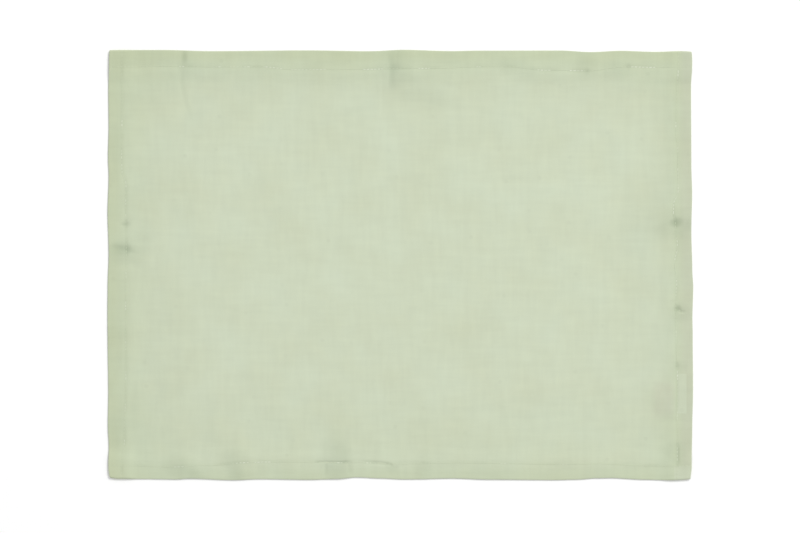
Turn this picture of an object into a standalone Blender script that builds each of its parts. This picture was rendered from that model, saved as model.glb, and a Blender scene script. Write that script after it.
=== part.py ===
# Fabric placemat: a hemmed rectangle of plain cloth lying flat, with a blank woven label in one hem.
#
# The origin is on the surface under the middle of the mat. +X runs along the long side to the right,
# +Y to the far long side, +Z up. Sizes are in millimetres, and the meshes are made in metres.

import math

import bmesh
import bpy

MM = 0.001

# Finished mat
LENGTH = 484.0
WIDTH = 356.0

# Cloth: the hems are turned under, so the single cloth starts on top of two more layers at a hem's
# inner fold and slopes down to the surface from there
LAYER_THICK = 1.0
HEM_EXTRA = 1.1
CROSSING_EXTRA = 0.4
FOLD_STEP = 0.3
HEM_SLOPE = 9.0
EDGE_ROUND = 1.0
EDGE_DROP_ABOVE = 0.6
EDGE_RISE_BELOW = 0.45

# Width of each hem, from the mat's edge to the inner fold
HEMS = {"left": 17.0, "right": 14.5, "near": 15.5, "far": 16.5}

# How far each side's outward wave is felt inside the mat, and how far a hem bulges before it lifts
WAVE_REACH = 42.0
HEM_BULGE = 0.25

# Label: one end is caught in the right hem and the other lies on the surface under the cloth
LABEL_WIDE = 33.0
LABEL_THICK = 0.5
LABEL_MIDDLE = -106.9
LABEL_FREE_END = 210.0
LABEL_CAUGHT_END = 237.4
LABEL_LEVEL_FROM = 217.0
LABEL_IN_HEM = 1.15
GAP = 0.3
COVER_SLOPE = 8.0
COVER_MARGIN = 1.5

# Grid of the cloth
GRID_PITCH = 7.0

# The four sides wave a little: place along the side, and how far the edge stands out there
EDGE_WAVES = {
    "left": (
        (-176.0, -0.45),
        (-166.0, 0.35),
        (-150.0, -0.40),
        (-133.0, 0.30),
        (-104.0, -0.05),
        (-64.0, 0.45),
        (-40.0, 0.65),
        (-17.0, 0.45),
        (10.0, -0.40),
        (42.0, 0.55),
        (75.0, -0.35),
        (88.0, 0.20),
        (115.0, -0.35),
        (175.0, -0.20),
    ),
    "right": (
        (-176.0, -0.90),
        (-168.0, -0.30),
        (-136.0, 0.30),
        (-104.0, 0.95),
        (-57.0, 0.70),
        (-44.0, 0.45),
        (-18.0, 1.10),
        (-4.0, 0.35),
        (29.0, -0.45),
        (59.0, 0.25),
        (82.0, -0.40),
        (148.0, -0.65),
        (168.0, 0.15),
    ),
    "near": (
        (-234.0, -0.10),
        (-213.0, -0.35),
        (-185.0, 0.00),
        (-175.0, -0.70),
        (-140.0, 0.55),
        (-115.0, -0.25),
        (-75.0, 0.30),
        (-52.0, -0.40),
        (-36.0, -1.85),
        (-16.0, -0.75),
        (4.0, -0.05),
        (44.0, -0.80),
        (74.0, 0.10),
        (128.0, 0.50),
        (153.0, -0.15),
        (173.0, -1.30),
        (203.0, 0.20),
        (225.0, 0.75),
    ),
    "far": (
        (-195.0, 0.45),
        (-158.0, -0.50),
        (-76.0, 0.15),
        (-26.0, -0.60),
        (4.0, 0.50),
        (44.0, -0.50),
        (64.0, -0.15),
        (133.0, -0.10),
        (158.0, -1.45),
        (183.0, -0.30),
        (212.0, -1.20),
        (233.0, -0.40),
    ),
}

# Each corner is folded a little short of square: side, side, and how far it is drawn in
CORNERS = (
    ("left", "far", 0.2),
    ("right", "far", 1.3),
    ("left", "near", 1.0),
    ("right", "near", 1.2),
)
CORNER_REACH = 9.0

# Puckers along the stitched hems and the soft folds that run in from them:
# x, y, rise, half length, half breadth, turn of the length from +X in degrees
PUCKERS = (
    # left hem
    (-229.0, 10.0, -0.8, 20.0, 9.0, -8.0),
    (-222.0, -4.0, 0.7, 30.0, 12.0, -14.0),
    (-226.0, 25.0, 0.6, 22.0, 12.0, 4.0),
    (-232.0, 80.0, 0.4, 16.0, 11.0, 0.0),
    (-230.0, -66.0, 0.4, 18.0, 12.0, 0.0),
    # right hem
    (229.0, 36.0, -0.9, 16.0, 8.0, 10.0),
    (219.0, 23.0, 1.0, 34.0, 13.0, 28.0),
    (230.0, 52.0, 0.6, 20.0, 11.0, 0.0),
    (230.0, -38.0, 0.7, 16.0, 9.0, 0.0),
    (230.0, -82.0, -0.5, 14.0, 8.0, 0.0),
    # soft folds inward of the near right corner
    (196.0, -112.0, 0.7, 34.0, 13.0, -52.0),
    (214.0, -143.0, 0.9, 32.0, 12.0, 24.0),
    (222.0, -158.0, -0.5, 22.0, 9.0, 20.0),
    # far hem
    (-178.0, 168.0, -0.7, 16.0, 8.0, 90.0),
    (-189.0, 164.0, 0.6, 22.0, 11.0, 80.0),
    (-170.0, 150.0, 0.4, 40.0, 12.0, 108.0),
    (-10.0, 160.0, -0.8, 22.0, 8.0, 90.0),
    (3.0, 157.0, 1.3, 30.0, 11.0, 96.0),
    (24.0, 146.0, 0.5, 34.0, 14.0, 150.0),
    (93.0, 163.0, 0.6, 18.0, 15.0, 90.0),
    (157.0, 165.0, -0.5, 18.0, 12.0, 90.0),
    (190.0, 165.0, 0.6, 20.0, 12.0, 90.0),
    # near hem
    (-175.0, -166.0, -0.6, 16.0, 9.0, 90.0),
    (-160.0, -163.0, 0.6, 20.0, 12.0, 84.0),
    (-137.0, -164.0, -0.5, 18.0, 8.0, 90.0),
    (-49.0, -162.0, -0.9, 20.0, 10.0, 78.0),
    (-62.0, -156.0, 0.9, 28.0, 13.0, 66.0),
    (-31.0, -160.0, 0.8, 24.0, 12.0, 104.0),
    (20.0, -163.0, 0.5, 20.0, 12.0, 90.0),
    (173.0, -165.0, 0.5, 20.0, 13.0, 90.0),
)


def ease(share):
    """A soft step from 0 to 1."""
    share = min(max(share, 0.0), 1.0)
    return share * share * (3.0 - 2.0 * share)


def read_wave(rows, place):
    """The outward wave at a place along a side, eased between the table's rows."""
    if place <= rows[0][0]:
        return rows[0][1]
    for (start, low), (end, high) in zip(rows, rows[1:]):
        if place <= end:
            return low + (high - low) * ease((place - start) / (end - start))
    return rows[-1][1]


def side_distances(x, y):
    """Distance of a point of the flat mat from each of its four sides."""
    return {
        "left": x + LENGTH / 2,
        "right": LENGTH / 2 - x,
        "near": y + WIDTH / 2,
        "far": WIDTH / 2 - y,
    }


def waved(x, y):
    """Where a point of the flat mat goes once its sides wave and its corners are drawn in."""
    away = side_distances(x, y)
    felt = {side: max(0.0, 1.0 - away[side] / WAVE_REACH) ** 2 for side in away}
    shift_x = felt["right"] * read_wave(EDGE_WAVES["right"], y)
    shift_x -= felt["left"] * read_wave(EDGE_WAVES["left"], y)
    shift_y = felt["far"] * read_wave(EDGE_WAVES["far"], x)
    shift_y -= felt["near"] * read_wave(EDGE_WAVES["near"], x)
    for side, end, drawn_in in CORNERS:
        near_corner = max(0.0, 1.0 - math.hypot(away[side], away[end]) / CORNER_REACH) ** 2
        shift_x += drawn_in * near_corner * (1.0 if side == "left" else -1.0)
        shift_y += drawn_in * near_corner * (1.0 if end == "near" else -1.0)
    return x + shift_x, y + shift_y


def hem_share(away, sides):
    """1 inside the hem of either side, easing to 0 down the slope past its inner fold."""
    return max(1.0 - ease((away[side] - HEMS[side]) / HEM_SLOPE) for side in sides)


def edge_rounding(away):
    """1 at the mat's very edge, 0 where the folded edge has reached its full thickness."""
    return max(0.0, 1.0 - min(away.values()) / EDGE_ROUND)


def pucker_rise(x, y):
    """Height that the puckers add to the cloth, below zero in a valley."""
    total = 0.0
    for centre_x, centre_y, rise, half_length, half_breadth, turn in PUCKERS:
        angle = math.radians(turn)
        along = (x - centre_x) * math.cos(angle) + (y - centre_y) * math.sin(angle)
        across = (y - centre_y) * math.cos(angle) - (x - centre_x) * math.sin(angle)
        spread = (along / half_length) ** 2 + (across / half_breadth) ** 2
        if spread < 1.0:
            total += rise * (1.0 - spread) ** 2
    return total


def label_height(x):
    """Height of the label's middle: on the surface at its free end, up in the hem at the other."""
    lying = LABEL_THICK / 2
    hem_fold = LENGTH / 2 - HEMS["right"]
    share = ease((x - LABEL_LEVEL_FROM) / (hem_fold - LABEL_LEVEL_FROM))
    return lying + (LABEL_IN_HEM - lying) * share


def label_cover(x, y, top):
    """The cloth's top, raised where it passes over the label."""
    past_end = max(LABEL_FREE_END - x, x - LABEL_CAUGHT_END, 0.0)
    past_side = max(abs(y - LABEL_MIDDLE) - LABEL_WIDE / 2, 0.0)
    felt = 1.0 - ease((math.hypot(past_end, past_side) - COVER_MARGIN) / COVER_SLOPE)
    needed = label_height(x) + LABEL_THICK / 2 + GAP + LAYER_THICK
    return top + felt * max(0.0, needed - top)


def face_lift(x, y, away):
    """Height of the face layer's underside above the surface."""
    short_hem = hem_share(away, ("left", "right"))
    long_hem = hem_share(away, ("near", "far"))
    hems = HEM_EXTRA * max(short_hem, long_hem) + CROSSING_EXTRA * min(short_hem, long_hem)
    return max(0.0, hems + pucker_rise(x, y))


def cloth_top(x, y):
    """Height of the cloth's upper face over a point of the flat mat."""
    away = side_distances(x, y)
    top = LAYER_THICK + face_lift(x, y, away) - EDGE_DROP_ABOVE * edge_rounding(away)
    return label_cover(x, y, top)


def cloth_bottom(x, y):
    """Height of the cloth's underside: a hem lies on the surface, the single layer where it has come down."""
    away = side_distances(x, y)
    if min(away[side] - HEMS[side] for side in HEMS) > 0.0:
        return face_lift(x, y, away)
    return max(0.0, pucker_rise(x, y) - HEM_BULGE) + EDGE_RISE_BELOW * edge_rounding(away)


def slab(name, columns, rows, top, bottom, shift=None):
    """A closed sheet between two height functions, on a grid with lines at the given places."""
    mesh = bpy.data.meshes.new(name)
    net = bmesh.new()
    bmesh.ops.create_grid(net, x_segments=len(columns) - 1, y_segments=len(rows) - 1, size=0.5)
    lower = net.verts[:]
    for vert in lower:
        column = round((vert.co.x + 0.5) * (len(columns) - 1))
        row = round((vert.co.y + 0.5) * (len(rows) - 1))
        vert.co = (columns[column], rows[row], 0.0)
    raised = bmesh.ops.extrude_face_region(net, geom=net.faces[:])["geom"]
    upper = [item for item in raised if isinstance(item, bmesh.types.BMVert)]
    for verts, height in ((lower, bottom), (upper, top)):
        for vert in verts:
            x, y = vert.co.x, vert.co.y
            level = height(x, y)
            if shift:
                x, y = shift(x, y)
            vert.co = (x * MM, y * MM, level * MM)
    bmesh.ops.recalc_face_normals(net, faces=net.faces[:])
    net.to_mesh(mesh)
    net.free()
    return bpy.data.objects.new(name, mesh)


def grid_lines(span, low_hem, high_hem, extra):
    """Places of the grid's lines over one span: close in the two hems, even between, with some extra."""

    def hem_lines(hem):
        slope = [hem + FOLD_STEP] + [hem + HEM_SLOPE * part for part in (0.35, 0.65, 1.0)]
        return [0.0, EDGE_ROUND, hem * 0.4, hem * 0.75, hem] + slope

    low = [-span / 2 + distance for distance in hem_lines(low_hem)]
    high = [span / 2 - distance for distance in reversed(hem_lines(high_hem))]
    bays = round((high[0] - low[-1]) / GRID_PITCH)
    bay = (high[0] - low[-1]) / bays
    between = [low[-1] + bay * count for count in range(1, bays)]
    apart = [place for place in between if all(abs(place - line) > bay / 4 for line in extra)]
    return sorted(low + apart + high + list(extra))


def even_lines(start, end, count):
    """Evenly spaced grid lines from one place to another."""
    return [start + (end - start) * step / count for step in range(count + 1)]


def fabric(name, colour, roughness):
    """A plain cloth material."""
    material = bpy.data.materials.new(name)
    material.use_nodes = True
    shader = material.node_tree.nodes["Principled BSDF"]
    shader.inputs["Base Color"].default_value = (*colour, 1.0)
    shader.inputs["Roughness"].default_value = roughness
    shader.inputs["Metallic"].default_value = 0.0
    material.diffuse_color = (*colour, 1.0)
    return material


def make_cloth():
    """The mat's cloth with its four hems, before the label's bed is cut."""
    label_low = LABEL_MIDDLE - LABEL_WIDE / 2
    label_high = LABEL_MIDDLE + LABEL_WIDE / 2
    reach = COVER_MARGIN + COVER_SLOPE
    columns = grid_lines(
        LENGTH,
        HEMS["left"],
        HEMS["right"],
        (LABEL_FREE_END - reach, LABEL_FREE_END - COVER_MARGIN, LABEL_LEVEL_FROM),
    )
    rows = grid_lines(
        WIDTH,
        HEMS["near"],
        HEMS["far"],
        (
            label_low - reach,
            label_low - COVER_MARGIN,
            label_high + COVER_MARGIN,
            label_high + reach,
        ),
    )
    cloth = slab("cloth", columns, rows, cloth_top, cloth_bottom, waved)
    cloth.data.shade_smooth()
    cloth.data.set_sharp_from_angle(angle=math.radians(40.0))
    cloth.data.materials.append(fabric("sage cloth", (0.60, 0.67, 0.49), 0.9))
    return cloth


def make_label():
    """The blank woven label, flat on the surface at one end and up between the hem's layers at the other."""
    columns = even_lines(LABEL_FREE_END, LABEL_CAUGHT_END, 14)
    rows = even_lines(LABEL_MIDDLE - LABEL_WIDE / 2, LABEL_MIDDLE + LABEL_WIDE / 2, 2)
    label = slab(
        "label",
        columns,
        rows,
        lambda x, y: label_height(x) + LABEL_THICK / 2,
        lambda x, y: label_height(x) - LABEL_THICK / 2,
    )
    label.data.materials.append(fabric("white tape", (0.84, 0.83, 0.79), 0.8))
    return label


def make_label_beds():
    """Cutters for the room round the label: open below under the cloth, a closed pocket in the hem."""
    fold = LENGTH / 2 - HEMS["right"]
    half = LABEL_WIDE / 2 + GAP
    rows = even_lines(LABEL_MIDDLE - half, LABEL_MIDDLE + half, 1)
    bed = slab(
        "bed under the cloth",
        even_lines(LABEL_FREE_END - GAP, fold, 14),
        rows,
        lambda x, y: label_height(x) + LABEL_THICK / 2 + GAP,
        lambda x, y: -LAYER_THICK,
    )
    pocket = slab(
        "pocket in the hem",
        even_lines(fold - GAP, LABEL_CAUGHT_END + GAP, 2),
        rows,
        lambda x, y: LABEL_IN_HEM + LABEL_THICK / 2 + GAP,
        lambda x, y: LABEL_IN_HEM - LABEL_THICK / 2 - GAP,
    )
    return bed, pocket


def cut(target, cutter):
    """Take a cutter's shape out of an object."""
    modifier = target.modifiers.new("room for the label", "BOOLEAN")
    modifier.operation = "DIFFERENCE"
    modifier.solver = "EXACT"
    modifier.object = cutter
    cutter.hide_render = True
    cutter.display_type = "WIRE"


def main():
    for old in list(bpy.data.objects):
        bpy.data.objects.remove(old, do_unlink=True)

    parts = bpy.data.collections.new("fabric placemat")
    cutters = bpy.data.collections.new("cutters")
    bpy.context.scene.collection.children.link(parts)
    bpy.context.scene.collection.children.link(cutters)

    cloth = make_cloth()
    label = make_label()
    beds = make_label_beds()

    # All pieces hang from one empty that brings the middle of the waved outline over the origin.
    middle = bpy.data.objects.new("middle of the mat", None)
    edges = [[vert.co[axis] for vert in cloth.data.vertices] for axis in (0, 1)]
    middle.location = [-(min(edge) + max(edge)) / 2 for edge in edges] + [0.0]
    parts.objects.link(middle)
    for piece in (cloth, label):
        parts.objects.link(piece)
        piece.parent = middle
    for bed in beds:
        cutters.objects.link(bed)
        bed.parent = middle
        cut(cloth, bed)


main()
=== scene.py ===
import math

import bmesh
import bpy
import numpy as np
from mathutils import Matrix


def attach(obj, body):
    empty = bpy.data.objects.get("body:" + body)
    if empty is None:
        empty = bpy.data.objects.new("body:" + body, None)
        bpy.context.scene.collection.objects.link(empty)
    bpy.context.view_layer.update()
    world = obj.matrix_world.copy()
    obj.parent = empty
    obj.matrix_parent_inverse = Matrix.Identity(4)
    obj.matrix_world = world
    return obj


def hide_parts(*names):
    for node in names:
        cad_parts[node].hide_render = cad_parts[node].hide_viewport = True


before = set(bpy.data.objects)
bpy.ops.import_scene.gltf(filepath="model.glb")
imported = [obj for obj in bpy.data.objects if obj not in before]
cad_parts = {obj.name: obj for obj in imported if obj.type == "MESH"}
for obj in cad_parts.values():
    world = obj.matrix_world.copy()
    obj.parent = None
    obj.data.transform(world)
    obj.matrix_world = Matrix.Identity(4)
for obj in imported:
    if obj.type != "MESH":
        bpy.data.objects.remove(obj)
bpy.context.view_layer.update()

# Cloth: one cut rectangle of pale sage plain weave, about 0.3 mm thick. Its four raw edges are turned
# under twice, the short sides first and the long sides over them, so it is folded up here in the same
# order: hems of three layers, corners of nine, and the wrong side showing the turned-under cloth.
METRE = 0.001
MAT_LONG = 484.0
MAT_WIDE = 356.0
CLOTH_THICK = 0.26
# From the middle of one layer in a hem to the next, and from the surface to the lowest one's middle
LAYER_STEP = 0.28
LYING = 0.15
# How far a corner's stack is pressed together, and how far the raw edge stops short of the outer fold
CORNER_PRESS = 0.25
RAW_EDGE = 0.6
# The least room between a piece and what it rests on or lies against
CLEAR = 0.02
# How far in from an outer fold that takes extra layers the cloth comes back to its own length
BEND_FADE = 6.0

# Distance of the stitch line from the mat's edge, at places along each side
SEAMS = {
    "left": (
        (-178, 10.9), (-166, 11), (-143, 13.3), (-95, 14.5), (7, 14.7), (67, 14.5), (78, 11.1),
        (178, 10.9),
    ),
    "right": (
        (-178, 12.2), (-151, 12.1), (-118, 12.4), (-98, 12.4), (-60, 13.4), (-25, 13.6), (-15, 12.9),
        (2, 14.4), (15, 11.8), (34, 13.4), (44, 15.2), (51, 15), (60, 11.5), (98, 11.4), (108, 13),
        (130, 12.8), (160, 11.4), (178, 11.4),
    ),
    "near": (
        (-242, 11.2), (-184, 10.3), (-162, 11.2), (-130, 13.9), (-108, 14.3), (-69, 14.4), (-45, 13.5),
        (-25, 13), (-11, 12.7), (60, 13.4), (150, 12.6), (208, 11.1), (242, 11.4),
    ),
    "far": (
        (-242, 13.8), (-180, 13.3), (-115, 13.4), (-88, 16), (9, 15.1), (28, 14.7), (66, 13.4),
        (90, 13.5), (121, 16.4), (154, 16.5), (188, 13.4), (242, 13.6),
    ),
}

# The hems: from the stitch line to the inner fold, mean widths, the slope down from the inner fold, and
# how far and over what reach the stiff hems hold themselves off the surface
HEM_PAST_SEAM = 1.9
MEAN_HEMS = {"left": 15.0, "right": 14.5, "near": 14.7, "far": 16.5}
HEM_SLOPE = 13.0
HEM_LIFT = 0.30
HEM_LIFT_REACH = 30.0
LIFT_SOFTNESS = 0.1

# The stitch lines: how far they press the cloth, half their breadth, and what a tight thread adds to the
# dent and to the painted shade along the line, easing in and out over a short run
SEAM_PRESS = 0.03
SEAM_HALF = 1.15
SEAM_DENT = 0.17
SEAM_PAINTED_SHADE = 0.075
PULL_FADE = 3.0

# Where the thread was drawn tighter, the stitch line sinks in and takes painted shade: from, to, and how
# far
SEAM_PULLS = {
    "left": (
        (-174.8, -166.5, 0.7), (-150, -135, 0.6), (-120.1, -105.2, 0.35), (-95.3, -52.2, 0.5),
        (-44, -29.1, 0.3), (7.4, 22.3, 0.7), (30.6, 38.8, 0.9), (42.1, 96.8, 0.55), (103.4, 108.4, 0.6),
        (116.7, 121.6, 0.6), (129.1, 134.1, 0.6), (158.1, 171.3, 0.5),
    ),
    "right": (
        (-167.3, -148.3, 1), (-120.1, -95.3, 0.6), (-87, -80.4, 0.8), (-72.1, -62.2, 0.4),
        (-39, -32.4, 0.9), (-29.1, -12.5, 0.6), (0.7, 19, 0.6), (30.6, 52.1, 0.9), (81.9, 95.1, 0.4),
        (113.4, 128.3, 0.35), (153.1, 161.4, 0.6),
    ),
    "near": (
        (-221.2, -211.3, 0.4), (-188.9, -179.8, 0.7), (-153.3, -137.6, 0.5), (-136.8, -126, 1),
        (-119.4, -107.8, 0.8), (-70.5, -42.4, 1), (-29.1, -9.3, 0.8), (17.2, 23.8, 0.5),
        (58.6, 71.9, 0.3), (116.6, 133.1, 0.3), (201, 214.3, 0.5),
    ),
    "far": (
        (-181.5, -171.6, 0.5), (-153.3, -146.7, 0.4), (-129.3, -113.6, 0.6), (-111.9, -99.5, 0.6),
        (-90.4, -67.2, 0.4), (-32.5, -14.2, 0.9), (-12.6, 8.9, 0.9), (15.6, 31.3, 0.6),
        (61.9, 68.6, 0.5), (87.6, 94.2, 0.5), (108.3, 130.7, 0.7), (141.4, 157.2, 0.8),
        (186.1, 211.8, 0.6),
    ),
}

# How far each side stands out from a straight line, and how far in that is felt
EDGE_WAVES = {
    "left": (
        (-176, -0.45), (-166, -0.2), (-150, -0.4), (-133, 0.3), (-104, -0.05), (-64, 0.45), (-40, 0.65),
        (-17, 0.45), (10, -0.4), (42, 0.55), (75, -0.35), (88, 0.2), (115, -0.35), (146, -0.05),
        (164, -0.7), (176, -0.85),
    ),
    "right": (
        (-176, -0.9), (-168, -0.3), (-136, 0.3), (-104, 0.95), (-57, 0.7), (-44, 0.45), (-18, 1.1),
        (-4, 0.35), (29, -0.45), (59, 0.25), (82, -0.4), (148, -0.65), (168, 0.15),
    ),
    "near": (
        (-234, -0.65), (-213, -0.5), (-185, -0.15), (-175, -0.85), (-140, 0.4), (-115, -0.4),
        (-75, 0.15), (-52, -0.6), (-36, -1.85), (-16, -1), (4, -0.2), (44, -0.95), (74, -0.05),
        (128, 0.35), (148, -0.05), (162, -1.1), (174, -1.35), (203, 0.05), (225, 0.55), (240, 0.05),
    ),
    "far": (
        (-195, 0.2), (-158, -0.75), (-76, -0.1), (-26, -0.8), (4, 0.3), (44, -0.7), (64, -0.3),
        (133, -0.2), (158, -1.5), (183, -0.45), (212, -1.3), (233, -0.7),
    ),
}
WAVE_REACH = 42.0
CORNERS_DRAWN_IN = (
    ("left", "far", 0.2), ("right", "far", 0.5), ("left", "near", 1.0), ("right", "near", 0.4),
)
CORNER_REACH = 9.0

# Soft puckers where the hems were eased, and the folds that run in from them. Painted shade darkens the
# cloth where it stands off the surface or is drawn together, for the light that no longer comes back up
# through it there; below zero it is painted light, and rows with no rise only paint the cloth: x, y,
# rise, painted shade, half length, half breadth, and turn of the length from +X in degrees
SOFT_PUCKERS = (
    # left hem
    (-225.9, 11.5, 0.6, 0.078, 26, 13.5, -6),
    (-214.5, 23.5, 0, 0.045, 13, 10, 0),
    (-230.5, 13.4, -0.35, 0.11, 14, 7.5, 0),
    (-226, 13, -0.15, 0.08, 4, 5.5, 0),
    (-225, 1.5, 0, -0.03, 11, 8, 0),
    (-231.5, -4.5, 0, -0.025, 8, 6, 0),
    (-227.5, 33.9, -0.15, 0.1, 6, 4.1, 0),
    (-213, 2.4, 0.25, -0.01, 16.6, 7.5, -20),
    (-235.3, 95.1, 0.2, 0.035, 28.2, 9.9, 90),
    (-234.5, -55.6, 0.25, 0.035, 14.9, 11.6, 0),
    (-233.7, -136.7, 0.35, 0.05, 21.5, 14.9, 90),
    (-236.1, 168, 0.1, 0.035, 21.5, 14.9, 0),
    (-237, 45.5, 0.1, 0.02, 11.6, 8.3, 0),
    (-220, -118, 0, 0.034, 38, 7, 90),
    # right hem
    (229.2, 34.9, -0.35, 0.215, 7.5, 5.6, 10),
    (239.5, 33.5, 0, 0.075, 9, 7, 90),
    (228, 33.5, 0.75, 0.07, 21, 17, 30),
    (216, 30, 0.2, 0.02, 15, 14, 40),
    (233.5, 24.5, 0.1, 0.034, 12, 10, 90),
    (207, 36, 0.35, 0.04, 42, 32, 70),
    (224, 23, 0, -0.035, 12, 9, 90),
    (230, -36.5, -0.2, 0.14, 5, 4.3, 0),
    (234.2, -38.2, 0.45, 0.06, 14.9, 10.8, 0),
    (231.7, -83.7, 0.3, 0.05, 9.9, 8.3, 0),
    (229.2, -83.7, -0.1, 0.05, 3.3, 3.3, 0),
    # soft folds inward of the near right corner
    (211.8, -111, 0.4, 0.035, 29.8, 11.6, -54),
    (225.9, -135, 0.25, -0.026, 18.2, 9.9, 15),
    (226, -155.5, 0.1, 0.046, 25, 13.5, 18),
    (227, -143.5, 0, -0.026, 10, 6, 0),
    (233.3, -159.9, 0.1, 0.05, 16.6, 8.3, 90),
    # far hem
    (-179.2, 172.6, -0.3, 0.135, 9, 3.6, 90),
    (-211, 172.5, 0, 0.052, 40, 11, 0),
    (-170.5, 136, 0, 0.018, 24, 6, 90),
    (-175.7, 169.7, 0.55, 0.06, 14.9, 11.6, 90),
    (-1.5, 168.5, 0.8, 0.055, 24, 18, 90),
    (-4.3, 171, -0.35, 0.026, 15, 11.5, 80),
    (-5.4, 162.8, -0.2, 0.07, 8, 6.5, 60),
    (-3.3, 153, 0.3, 0.045, 12, 8, 90),
    (6.5, 158, 0.2, 0.035, 16, 10, 120),
    (17.2, 142.3, 0.3, 0.045, 43.1, 15.7, -12),
    (90.9, 166.2, 0.3, 0.055, 12.5, 11.5, 0),
    (105, 161.2, 0.2, 0.028, 13, 12, 0),
    (72, 156.5, 0, -0.045, 44, 10, 0),
    (222, 160, 0, -0.05, 10, 9, 0),
    (236.5, 172, 0, 0.042, 9, 9, 0),
    (154.7, 166.5, 0.35, 0.06, 17, 13, 90),
    (154.7, 161, -0.12, 0.066, 5.5, 4.2, 90),
    (168, 172.5, 0, -0.022, 14, 7, 0),
    (181, 163, 0.25, 0.055, 19, 12.5, 0),
    (189.4, 164.7, -0.12, 0.07, 5, 2.9, 90),
    (-52.3, 174.6, 0.05, 0.02, 5, 4.1, 0),
    # near hem
    (-180, -167.5, 0.55, 0.08, 21.5, 14.5, -20),
    (-168.2, -174.8, 0.1, 0.055, 10.8, 6.6, -20),
    (-137, -160.5, 0.4, 0.07, 17, 12.5, 0),
    (-134.5, -173.5, 0.25, 0.085, 11, 10, 90),
    (-51.5, -160.7, 0.85, 0.08, 29.8, 18.2, 88),
    (-48.2, -154.9, 0.1, 0.035, 13.2, 10.8, 90),
    (-45.2, -163.1, 0, 0.07, 3.2, 2.4, 0),
    (-50.7, -171.7, 0.1, 0.025, 14.9, 9.8, 0),
    (-17.6, -154.9, 0.25, 0.02, 14.9, 7.5, 90),
    (-6, -169.8, 0.15, 0.045, 9.9, 6.6, -40),
    (-8.6, -167.8, 0, 0.05, 7, 3.6, -35),
    (20.5, -167.2, 0.4, 0.048, 16.6, 11, 90),
    (-90.4, -168.2, 0.15, 0.01, 13.2, 8.3, 90),
    (76.8, -170.7, 0.2, 0.025, 28.2, 16.6, 0),
    (171.2, -171.5, 0.2, -0.014, 21.5, 13.2, 0),
    (141.5, -153.7, 0, 0.018, 50, 10, 0),
)

# Sharper creases: rise, painted shade (below zero, painted light), breadth to the left and to the right
# of the way it runs, and the points that it runs through. Each tapers over a share of its length at both
# ends
CREASE_TAPER = 0.3
CREASES = (
    # left hem
    (-0.2, 0.03, 2.9, 2.9, ((-240.5, 15.5), (-229.5, 13.2), (-216, 8.5))),
    (-0.2, 0.04, 1.7, 1.7, ((-232, 33), (-224.6, 33.9))),
    # right hem
    (-0.2, 0.015, 3.7, 3.7, ((239.1, 37.6), (228.5, 36.3), (217, 31.5))),
    (-0.35, 0.06, 1.7, 2.1, ((237.5, -39), (232.5, -39), (230, -36.5), (230.8, -32.4))),
    (-0.2, 0.07, 1.7, 1.7, ((231.3, -149.1), (230.8, -158.2), (231.7, -166.5))),
    # far hem
    (-0.25, 0.042, 3.5, 2.5,
     ((-181.8, 164.5), (-181.6, 150), (-179.6, 142), (-177.4, 133.5), (-172.5, 120))),
    (-0.3, 0.045, 5, 2.1, ((-8.4, 177.9), (-8, 161.4), (-8.9, 144.8))),
    (0.06, -0.02, 2.5, 2.5, ((-16.7, 161.4), (-16.7, 113.4))),
    # near hem
    (-0.2, 0.07, 1.3, 1.3, ((-73, -163.8), (-57.3, -163.9), (-41.5, -163.4))),
    (-0.3, 0.05, 1.7, 2.9, ((-61, -163.2), (-61.8, -176.4))),
    (-0.25, 0.045, 4, 1.7, ((-42, -161.5), (-42.6, -169), (-41.6, -176.4))),
    (-0.35, 0.048, 1.4, 2.6,
     ((-34, -163.2), (-20, -164.1), (-8.4, -165.6), (-4.6, -168.8), (-2.8, -173.5))),
)

# The label's place, which the cloth makes room for: its ends, where it leaves the hem's layers and where
# it has come down to the surface, and how far the cloth slopes away round it
LABEL_THICK = 0.20
LABEL_MIDDLE = -106.9
LABEL_WIDE = 33.0
LABEL_FREE_END = 210.0
LABEL_CAUGHT_END = 237.2
LABEL_ROOM = 0.24
LABEL_DOWN_FROM = 227.2
LABEL_DOWN_TO = 219.0
LABEL_ROOM_SLOPE = 6.0
LABEL_COVER_SLOPE = 7.0
LABEL_COVER_MARGIN = 0.4


def ease(share):
    """A soft step from 0 to 1."""
    share = np.clip(share, 0.0, 1.0)
    return share * share * (3.0 - 2.0 * share)


def along_side(rows, place):
    """A side's table read at places along it, eased between its rows."""
    places = np.array([row[0] for row in rows])
    values = np.array([row[1] for row in rows])
    row = np.clip(np.searchsorted(places, place) - 1, 0, len(rows) - 2)
    share = ease((place - places[row]) / (places[row + 1] - places[row]))
    return values[row] + (values[row + 1] - values[row]) * share


def hem_width(side, place):
    """Width of a side's hem, from the mat's edge to its inner fold."""
    return along_side(SEAMS[side], place) + HEM_PAST_SEAM


def from_sides(x, y):
    """Distance of a place on the mat from each of its sides."""
    return {
        "left": x + MAT_LONG / 2,
        "right": MAT_LONG / 2 - x,
        "near": y + MAT_WIDE / 2,
        "far": MAT_WIDE / 2 - y,
    }


def along_sides(x, y):
    """Each side, with the place along it."""
    return ("left", y), ("right", y), ("near", x), ("far", x)


def seam_sink(x, y):
    """How far the cloth is pressed along the stitch lines, and how far it is drawn in as well where the
    thread is tight: both from 0 to 1."""
    away = from_sides(x, y)
    pressed = np.zeros(x.shape)
    tight = np.zeros(x.shape)
    for side, place in along_sides(x, y):
        off_line = away[side] - along_side(SEAMS[side], place)
        on_line = np.exp(-((off_line / SEAM_HALF) ** 2))
        pull = np.zeros(x.shape)
        for start, end, strength in SEAM_PULLS[side]:
            entering = ease((place - start) / PULL_FADE + 0.5)
            pull += strength * entering * ease((end - place) / PULL_FADE + 0.5)
        pressed = np.maximum(pressed, on_line)
        tight = np.maximum(tight, on_line * pull)
    return pressed, tight


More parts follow.
